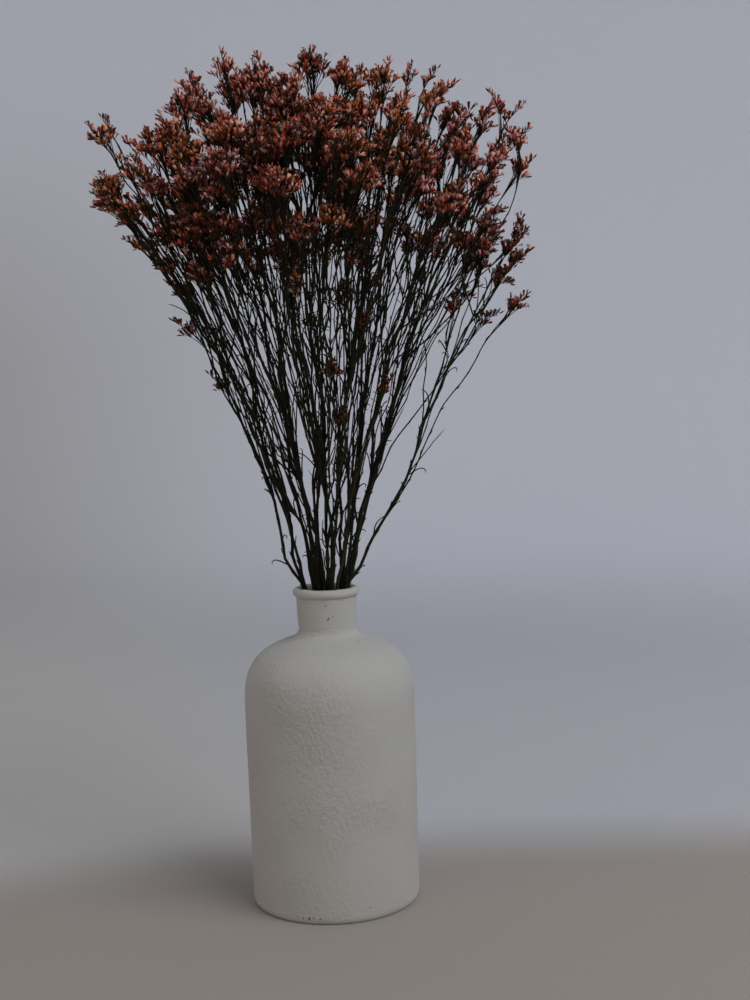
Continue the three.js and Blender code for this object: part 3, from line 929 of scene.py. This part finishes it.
def add_bare_twig(stalks, parent, kind, rng):
    """A bare twig: it leaves its stem at an angle, turns up beside it and curls at its end."""
    z = max(rng.uniform(*kind["heights"]), parent.run[0][2] + 4)
    length = min(rng.uniform(*kind["length"]), parent.run[-1][2] - z)
    if length < kind["length"][0] / 2:
        return
    heights = np.array([z, z + 3])
    root, ahead = wander(place(parent.lean_at(heights), heights))
    way = unit(ahead - root)
    side = unit(np.cross(way, rng.normal(0, 1, 3)))
    if length > LONGEST_OUTWARD and np.dot(side[:2], root[:2]) > 0:
        side = -side
    heading = unit(way + side * rng.uniform(*kind["leaving"]))
    axis = unit(np.cross(side, way) * rng.choice((-1, 1)) + rng.normal(0, AXIS_JITTER, 3))
    curl = rng.uniform(*kind["curl"])
    points = [root]
    for share in np.linspace(0, 1, BARE_STEPS):
        turning = np.cross(axis, heading) * curl * share ** 2
        upward = (way - heading) * UPTURN * (1 - share)
        heading = unit(heading + upward + turning + rng.normal(0, BARE_JITTER, 3))
        points.append(points[-1] + heading * length / BARE_STEPS)
    line = np.array(points)
    radii = np.linspace(kind["radius"], TIP_R, BARE_STEPS + 1)
    stalks.add(*rod(line, radii, TWIG_SIDES), age=BARE_AGE, tone=rng.uniform(0, 1))
    if rng.uniform() < FORKED_SHARE:
        fork = BARE_STEPS - 5
        away = unit(heading + unit(np.cross(heading, rng.normal(0, 1, 3))) * FORK_SPREAD)
        reach = min(length * FORK_SHARE, LONGEST_FORK)
        line = line[fork] + np.outer(np.linspace(0, reach, FORK_STEPS), away)
        line[:, 2] += np.linspace(0, 1, FORK_STEPS) ** 2 * FORK_RISE
        radii = np.linspace(TIP_R, FORK_TIP_R, FORK_STEPS)
        stalks.add(*rod(line, radii, TWIG_SIDES), age=BARE_AGE, tone=rng.uniform(0, 1))


# Florets: each is a slim papery cup of about 5 mm, in two ranks along the upper side of a short
# spike. They are olive at the base, brick red to orange or dusty pink above, and some stand open.
# A twig ends in a rounded head of such spikes, which leave it steeply and arch outward.
FLORET_LENGTH = (4.4, 6.2)
FLORET_SPACING = (0.85, 1.25)
FLORET_LIFT = (0.45, 1.0)
RANK_ANGLE, RANK_VARIES = 0.6, 0.22
TAPERING, MORE_BUDS_FROM, MORE_BUDS = 0.25, 0.8, 0.4
SHADE_VARIES = 0.30
HEAD = {"wide": (7, 12), "spikes": (14, 20)}
SMALL_HEAD = {"wide": (5, 9), "spikes": (7, 12)}
HEAD_BASE = 11
LEAST_WIDE = 0.45
LATERAL_RUN = 26
CLIMB_FROM, CLIMB_RANGE = 1.2, 1.5
FLATNESS = 0.75
LATERAL_PARTS, LATERAL_R, LATERAL_TIP_R = 5, 0.33, 0.22
LATERAL_TURNS, LATERAL_LEAVES, LATERAL_REACH = 0.35, (0.6, 1.1), (0.75, 1.15)
LATERAL_BOW, LATERAL_DROOP, LEAST_BARE = (0.5, 1.1), (0, 0.3), 0.15
SPIKE_DYE_VARIES, SPIKE_SHADE_VARIES = 0.1, 0.12
FLOWERED = (6, 11)
FURTHEST = 131
OPEN_SHARE = 0.13
BUD_SHARE = 0.42

# The bunch is looser on its right, and its lowest heads are mere sprigs, as are those that stand
# above the crown's top, which steps down at both sides.
LOOSER_ACROSS = (-130, -114, -100, -90, -60, 15, 50, 75, 100)
FULLNESS = (0.75, 0.3, 0.3, 0.9, 1.15, 1.15, 0.55, 0.5, 0.6)
SPRIG_HEIGHTS, SPRIG_FULLNESS = (335, 420), (0.3, 1)
TOP_ACROSS = (-136, -111, -103, -97, -90, -79, -20, 47, 56, 110, 119)
TOP_HEIGHTS = (478, 468, 464, 480, 500, 503, 508, 505, 488, 488, 476)
ABOVE_TOP, LONE_FULLNESS = 12, 0.25

# How far the dye went to pink across the bunch, and how much painted shade darkens the florets inside
# it
DYE_ACROSS, DYE_TAKEN = (-110, -55, 0, 45, 95), (0.35, 0.80, 0.45, 0.25, 0.85)
DYE_PATCH, DYE_BY, DYE_VARIES = 40, 0.45, 0.15
INNER_REACH, OUTER_REACH = 205, 300
BRIGHTNESS, INNER_PAINTED_SHADE = 0.50, 0.49
BRIGHT_PATCH, BRIGHT_BY, HEADS_VARY = 25, 0.20, 0.07


def ring_of(count, radius, along, turned_by=0.0):
    turn = (np.arange(count) + turned_by) * 2 * np.pi / count
    return np.column_stack([radius * np.cos(turn), radius * np.sin(turn), np.full(count, along)])


def bands(*rings):
    """Faces between rings of like count, given as their first vertex numbers and count."""
    faces = []
    for (low, count), (high, _) in zip(rings, rings[1:]):
        for k in range(count):
            n = (k + 1) % count
            faces += [(low + k, low + n, high + n), (low + k, high + n, high + k)]
    return faces


def fan(ring, count, tip, upward=True):
    pairs = [(ring + k, ring + (k + 1) % count) for k in range(count)]
    return [(a, b, tip) if upward else (b, a, tip) for a, b in pairs]


def bud_form():
    """A closed bud: a pointed spindle, fullest past its middle."""
    vertices = np.concatenate([
        [(0, 0, 0)], ring_of(3, 0.09, 0.2), ring_of(3, 0.145, 0.55), [(0, 0, 1)],
    ])
    return vertices, fan(1, 3, 0, False) + bands((1, 3), (4, 3)) + fan(4, 3, 7), vertices[:, 2]


def cup_form():
    """A half-open cup that flares to four pointed teeth round a dark throat."""
    vertices = np.concatenate([
        [(0, 0, 0)], ring_of(4, 0.11, 0.45), ring_of(4, 0.18, 1), [(0, 0, 0.72)],
    ])
    along = np.append(vertices[:-1, 2], 0.3)
    return vertices, fan(1, 4, 0, False) + bands((1, 4), (5, 4)) + fan(5, 4, 9), along


def open_form():
    """An open floret: a tube that flares into a star of five lobes."""
    vertices = np.concatenate([
        [(0, 0, 0)], ring_of(5, 0.10, 0.55), ring_of(5, 0.18, 0.82), ring_of(5, 0.40, 0.97, 0.5),
        [(0, 0, 0.66)],
    ])
    faces = fan(1, 5, 0, False) + bands((1, 5), (6, 5))
    for k in range(5):
        notch, lobe, next_notch = 6 + k, 11 + k, 6 + (k + 1) % 5
        faces += [(notch, next_notch, lobe), (next_notch, 16, lobe), (lobe, 16, notch)]
    return vertices, faces, np.append(vertices[:-1, 2], 0.4)


FORMS = [bud_form(), cup_form(), open_form()]


class Blossom:
    """The florets of a spray: where each sits, which way it points, its form, length and dye."""

    def __init__(self):
        self.rows = [[], [], []]

    def dress(self, line, upper, dye, brightness, rng):
        """Sets two ranks of florets along a spike's line."""
        lengths = lengths_along(line)
        at = np.cumsum(rng.uniform(*FLORET_SPACING, int(lengths[-1] / FLORET_SPACING[0]) + 1))
        at = np.append(at[at < lengths[-1] - 0.4], lengths[-1])
        middle = at_lengths(line, lengths, at)
        way = unit(at_lengths(unit(np.gradient(line, axis=0)), lengths, at))
        up = unit(upper - way * np.sum(upper * way, axis=1)[:, None])
        across = np.cross(way, up)
        count = len(at)
        rank = np.where(np.arange(count) % 2, 1, -1) * (RANK_ANGLE + rng.normal(0, RANK_VARIES, count))
        out = up * np.cos(rank)[:, None] + across * np.sin(rank)[:, None]
        lift = rng.uniform(*FLORET_LIFT, count)
        lift[-1] = 0.1
        heading = unit(way * np.cos(lift)[:, None] + out * np.sin(lift)[:, None])
        share = at / lengths[-1]
        size = rng.uniform(*FLORET_LENGTH, count) * (1 - TAPERING * share ** 3)
        pick = rng.uniform(0, 1, count)
        buds = BUD_SHARE + MORE_BUDS * (share > MORE_BUDS_FROM)
        form = np.where(pick < buds, 0, np.where(pick < 1 - OPEN_SHARE, 1, 2))
        shade = np.clip(rng.normal(brightness, SHADE_VARIES, count), 0, 1)
        for i in range(count):
            foot = middle[i] + out[i] * 0.2
            self.rows[form[i]].append((*foot, *heading[i], size[i], dye, shade[i]))

    def gather(self, rng):
        florets = Gathered()
        for number, ((template, faces, along), rows) in enumerate(zip(FORMS, self.rows)):
            if not rows:
                continue
            table = np.array(rows)
            at, heading = table[:, :3], table[:, 3:6]
            size, dye, shade = table[:, 6:].T
            side = unit(np.cross(heading, rng.normal(0, 1, heading.shape)))
            across = np.cross(heading, side)
            points = at[:, None] + size[:, None, None] * (
                template[None, :, :1] * side[:, None] + template[None, :, 1:2] * across[:, None]
                + template[None, :, 2:] * heading[:, None]
            )
            count, many = len(rows), len(template)
            all_faces = np.array(faces)[None] + (np.arange(count) * many)[:, None, None]
            florets.add(points.reshape(-1, 3), all_faces.reshape(-1, 3), along=np.tile(along, count),
                        dye=np.repeat(dye, many), shade=np.repeat(shade, many), open=float(number == 2))
        return florets


def arch(start, leaving, end, arriving, steps):
    """A line from one point to another that leaves and arrives along given vectors."""
    t = np.linspace(0, 1, steps + 1)[:, None]
    return ((1 + 2 * t) * (1 - t) ** 2 * start + t * (1 - t) ** 2 * leaving
            + t * t * (3 - 2 * t) * end + t * t * (t - 1) * arriving)


def dye_at(point, rng):
    """How pink a head is: 0 is orange and 1 is pink."""
    patch = DYE_BY * lattice_noise(point[None] / DYE_PATCH, seed=61)[0]
    taken = np.interp(point[0], DYE_ACROSS, DYE_TAKEN) + patch + rng.normal(0, DYE_VARIES)
    return float(np.clip(taken, 0, 1))


def brightness_at(point, rng):
    """How bright a head's florets are: painted shade darkens those deep inside the bunch."""
    reach = np.linalg.norm(point - (0, 0, DOME_CENTRE_Z))
    outer = np.clip((reach - INNER_REACH) / (OUTER_REACH - INNER_REACH), 0, 1)
    patch = BRIGHT_BY * lattice_noise(point[None] / BRIGHT_PATCH, seed=62)[0]
    return BRIGHTNESS - INNER_PAINTED_SHADE * (1 - outer) + patch + rng.normal(0, HEADS_VARY)


def fullness_at(tip):
    """How full the head at a tip is, against a whole one."""
    above = tip[2] - np.interp(tip[0], TOP_ACROSS, TOP_HEIGHTS)
    across = np.interp(tip[0], LOOSER_ACROSS, FULLNESS)
    upward = np.interp(tip[2], SPRIG_HEIGHTS, SPRIG_FULLNESS)
    return across * upward * np.interp(above, (0, ABOVE_TOP), (1, LONE_FULLNESS))


def add_head(stalks, blossom, stalk, kind, rng):
    """A rounded head of side spikes round the end of a stalk, the highest of which leave it last."""
    back = stalk[::-1]
    lengths = lengths_along(back)
    dye, brightness = dye_at(stalk[-1], rng), brightness_at(stalk[-1], rng)
    own_end = at_lengths(back, lengths, np.linspace(rng.uniform(*FLOWERED), 0, 7))
    azimuth = rng.uniform(0, 2 * np.pi)
    upper = (math.cos(azimuth), math.sin(azimuth), 1.2)
    blossom.dress(own_end, upper, dye, brightness, rng)
    full = fullness_at(stalk[-1])
    wide = rng.uniform(*kind["wide"]) * (LEAST_WIDE + 0.55 * full)
    count = round(rng.integers(*kind["spikes"]) * full)
    middle = at_lengths(back, lengths, HEAD_BASE)
    for i in range(count):
        climb = CLIMB_FROM - CLIMB_RANGE * (i + rng.uniform(0.2, 0.8)) / count
        off = HEAD_BASE + 4 + LATERAL_RUN * math.cos(climb) * rng.uniform(*LATERAL_LEAVES)
        if off > lengths[-1] - 5:
            continue
        root, ahead = at_lengths(back, lengths, np.array([off, off - 5]))
        way = unit(ahead - root)
        azimuth += GOLDEN_TURN + rng.normal(0, LATERAL_TURNS)
        flat = np.array([math.cos(azimuth), math.sin(azimuth), 0])
        side = unit(flat - way * np.dot(flat, way))
        reach = wide * rng.uniform(*LATERAL_REACH)
        end = middle + (way * math.sin(climb) * FLATNESS + side * math.cos(climb)) * reach
        end[:2] *= min(1, FURTHEST / math.hypot(end[0], end[1]))
        span = np.linalg.norm(end - root)
        outward = side * math.cos(climb) + way * 0.3 - (0, 0, rng.uniform(*LATERAL_DROOP))
        bow = rng.uniform(*LATERAL_BOW)
        line = arch(root, way * span, end, outward * span * bow, LATERAL_PARTS)
        radii = np.linspace(LATERAL_R, LATERAL_TIP_R, LATERAL_PARTS + 1)
        stalks.add(*rod(line, radii, 3), age=0.8, tone=rng.uniform(0, 1))
        share = max(1 - rng.uniform(*FLOWERED) / span, LEAST_BARE)
        stations = np.linspace(share, 1, LATERAL_PARTS + 1) * LATERAL_PARTS
        flowered = at_lengths(line, np.arange(LATERAL_PARTS + 1), stations)
        spike_dye = np.clip(dye + rng.normal(0, SPIKE_DYE_VARIES), 0, 1)
        spike_brightness = brightness + rng.normal(0, SPIKE_SHADE_VARIES)
        upper = way * 0.4 + (0, 0, 1) - side * 0.25
        blossom.dress(flowered, upper, spike_dye, spike_brightness, rng)


def fine_run(limb):
    """A limb's bare run as a smooth line, and how thick it is there."""
    steps = max(int((limb.run[-1][2] - limb.run[0][2]) / STEP), 3)
    heights = np.linspace(limb.run[0][2], limb.run[-1][2], steps + 1)
    thick = np.interp(heights, limb.run[:, 2], limb.radii) * np.interp(heights, SLIM_HEIGHTS, SLIMNESS)
    return place(limb.lean_at(heights), heights), thick


def add_limb(stalks, blossom, limb, sides, kind, rng):
    """A limb in full: its run, its end spike, and the head of side spikes round that."""
    line, thick = fine_run(limb)
    tip = smooth_through(limb.spike, 2)
    whole = wander(np.concatenate([line, tip[1:]]))
    radii = np.concatenate([thick, np.full(len(tip) - 1, TIP_R)])
    is_stem = limb.radii[0] > BRANCH["radius"]
    if not is_stem:
        whole = bowed(whole, rng)
    stalk = add_stalk(stalks, whole, radii, sides, rng, (STEM_AGE if is_stem else TWIG_AGE, TIP_AGE))
    add_head(stalks, blossom, stalk, kind, rng)


OLIVE_STALK, BROWN_STALK = (0.024, 0.026, 0.009, 1), (0.021, 0.015, 0.008, 1)
DARK_STALK, PALE_MOTTLE = (0.0045, 0.0045, 0.003, 1), (0.055, 0.052, 0.022, 1)

dried = Finish("dried_stalk", Roughness=0.70, Specular_IOR_Level=0.12)
age, tone = mark_of(dried, "age"), mark_of(dried, "tone")
grain = noise_on(dried, 1, 3, (900, 900, 110))
mottle = noise_on(dried, 160, 3)
stalk_colour = dried.blend(age, OLIVE_STALK, BROWN_STALK)
stalk_colour = dried.blend(tone * 1.3 - 0.15, stalk_colour, DARK_STALK)
stalk_colour = dried.blend((mottle - 0.5) * 1.1, stalk_colour, PALE_MOTTLE)
dried.feed(Base_Color=stalk_colour)
bump(dried, grain, strength=0.5, distance=0.0003)

# Of each pair the first colour is the orange florets' and the second the pink ones'. The open lobes
# and the foot of every floret have one colour each.
BODIES = (0.55, 0.104, 0.016, 1), (0.54, 0.068, 0.048, 1)
PALE_LIPS = (0.82, 0.37, 0.16, 1), (0.88, 0.49, 0.47, 1)
DEEP_SHADES = (0.046, 0.027, 0.008, 1), (0.060, 0.020, 0.012, 1)
OPEN_LOBES, FOOT = (0.85, 0.60, 0.59, 1), (0.026, 0.024, 0.008, 1)
FOOT_ENDS, FOOT_FROM = 0.60, 0.16

petal = Finish("dyed_floret", Roughness=0.80, Specular_IOR_Level=0.14)
along, dye_mark = mark_of(petal, "along"), mark_of(petal, "dye")
shade_mark, open_mark = mark_of(petal, "shade"), mark_of(petal, "open")
body = petal.blend(dye_mark, *BODIES)
pale = petal.blend(dye_mark, *PALE_LIPS)
deep = petal.blend(dye_mark, *DEEP_SHADES)
# The shade mark is partly random and partly painted shade deep inside the bunch; low values blend to
# the deep colour.
colour = petal.blend(shade_mark * 2.4 - 0.6, deep, body)
colour = petal.blend((shade_mark - 0.64) * 2.8 + (along - 0.6) * 0.5, colour, pale)
colour = petal.blend(open_mark * 0.8 * along, colour, OPEN_LOBES)
foot = smooth_step(petal, along, FOOT_ENDS, FOOT_FROM)
colour = petal.blend(foot * 0.9, colour, FOOT)
petal.feed(Base_Color=colour)
crumple = noise_on(petal, 700, 2)
bump(petal, crumple, strength=0.4, distance=0.0003)

# Thin arcs that stand out of the bunch, as where each starts to flower and how far it nods
STRAYS = [
    ((-24, -15, 502), 0.4), ((19, -5, 499), 0.4), ((40, -5, 499), 2.2), ((78, -10, 473), 0.6),
    ((92, -25, 471), 0.7), ((104, 12, 473), 0.6), ((117, 0, 474), 0.3), ((121, -8, 442), 0.4),
    ((10, -28, 294), 0.5), ((33, -35, 312), 0.6), ((-95, -30, 420), 0.5),
]
STRAY_RISE, STRAY_R = 105, 0.5

# Long bare arcs at the right: each leaves an outer stem low, swings far out and turns back in to its
# head. For each: the stem, the height it leaves at, where it ends, and its ways out and in, in mm.
ARCS = [
    (8, 372, (119, -16, 474), (100, -10, 60), (-80, 0, 95)),
    (8, 398, (110, -8, 497), (62, -6, 70), (-62, 0, 60)),
    (22, 352, (124, -30, 420), (80, -10, 60), (-10, 0, 75)),
    (8, 340, (98, -24, 410), (70, 0, 60), (-45, 0, 80)),
    (6, 405, (88, -30, 482), (40, -6, 60), (-40, 0, 55)),
]
ARC_STEPS, ARC_R = 16, 0.5


def add_arc(stalks, blossom, stem, leaving_z, end, out, back, rng):
    """A bare arc from a stem to a head of its own."""
    height = np.array([leaving_z])
    root = wander(place(stem.lean_at(height), height))[0]
    line = arch(root, np.array(out), np.array(end), np.array(back), ARC_STEPS)
    radii = np.linspace(ARC_R, TIP_R, len(line))
    stalk = add_stalk(stalks, line, radii, TWIG_SIDES, rng, (TWIG_AGE, TIP_AGE))
    add_head(stalks, blossom, stalk, SMALL_HEAD, rng)


nearest = [min(sprays, key=lambda spray: math.dist(spray.tip[:2], end[:2])) for end, _ in STRAYS]
DRESSING_SEED = 4200

for number, spray in enumerate(sprays):
    rng = np.random.default_rng(DRESSING_SEED + number)
    stalks, blossom = Gathered(), Blossom()
    stem = spray.limbs[0]
    for limb in spray.limbs:
        add_limb(stalks, blossom, limb, STEM_SIDES if limb is stem else TWIG_SIDES, HEAD, rng)
    for _ in range(EXTRA_TWIGS):
        parent = parent_in(spray, EXTRA_TWIG["from stem"], rng)
        low, high = parent.run[0][2], parent.run[-1][2]
        z = low + (high - low) * rng.uniform(*EXTRA_TWIG["leaves at"])
        z = max(z, LOWEST_TWIG_Z + rng.uniform(0, EXTRA_TWIG["lowest varies"]))
        if z > high - EXTRA_TWIG["run beside"]:
            continue
        root = place(parent.lean_at(z), z)
        target = dome_point(spray.tip, rng.uniform(0, 2 * np.pi), rng.uniform(*EXTRA_TWIG["spread"]),
                            rng.uniform(*EXTRA_TWIG["drop"]))
        across = math.hypot(target[0] - root[0], target[1] - root[1])
        outline = np.interp(target[2], OUTLINE_HEIGHTS, OUTLINE_R)
        is_inside = math.hypot(target[0], target[1]) < outline
        if is_inside and target[2] - root[2] > max(STEEPNESS * across, SHORTEST_RISE):
            limb = shoot(parent, root, target, EXTRA_TWIG["radius"], rng.uniform(*SPIKE_NOD))
            add_limb(stalks, blossom, limb, TWIG_SIDES, SMALL_HEAD, rng)
    for (end, nod), owner in zip(STRAYS, nearest):
        if owner is spray:
            z = max(end[2] - STRAY_RISE, LOWEST_TWIG_Z)
            stray = shoot(stem, place(stem.lean_at(z), z), end, STRAY_R, nod)
            add_limb(stalks, blossom, stray, TWIG_SIDES, HEAD, rng)
    for owner, *course in ARCS:
        if sprays[owner] is spray:
            add_arc(stalks, blossom, stem, *course, rng)
    for kind in [CURL] * CURLS + [THREAD] * THREADS:
        add_bare_twig(stalks, parent_in(spray, BARE_FROM_STEM, rng), kind, rng)
    stalks.piece(f"{spray.name}_stalks", spray.name, "dried_stem", dried.material)
    blossom.gather(rng).piece(f"{spray.name}_florets", spray.name, "dried_floret", petal.material)
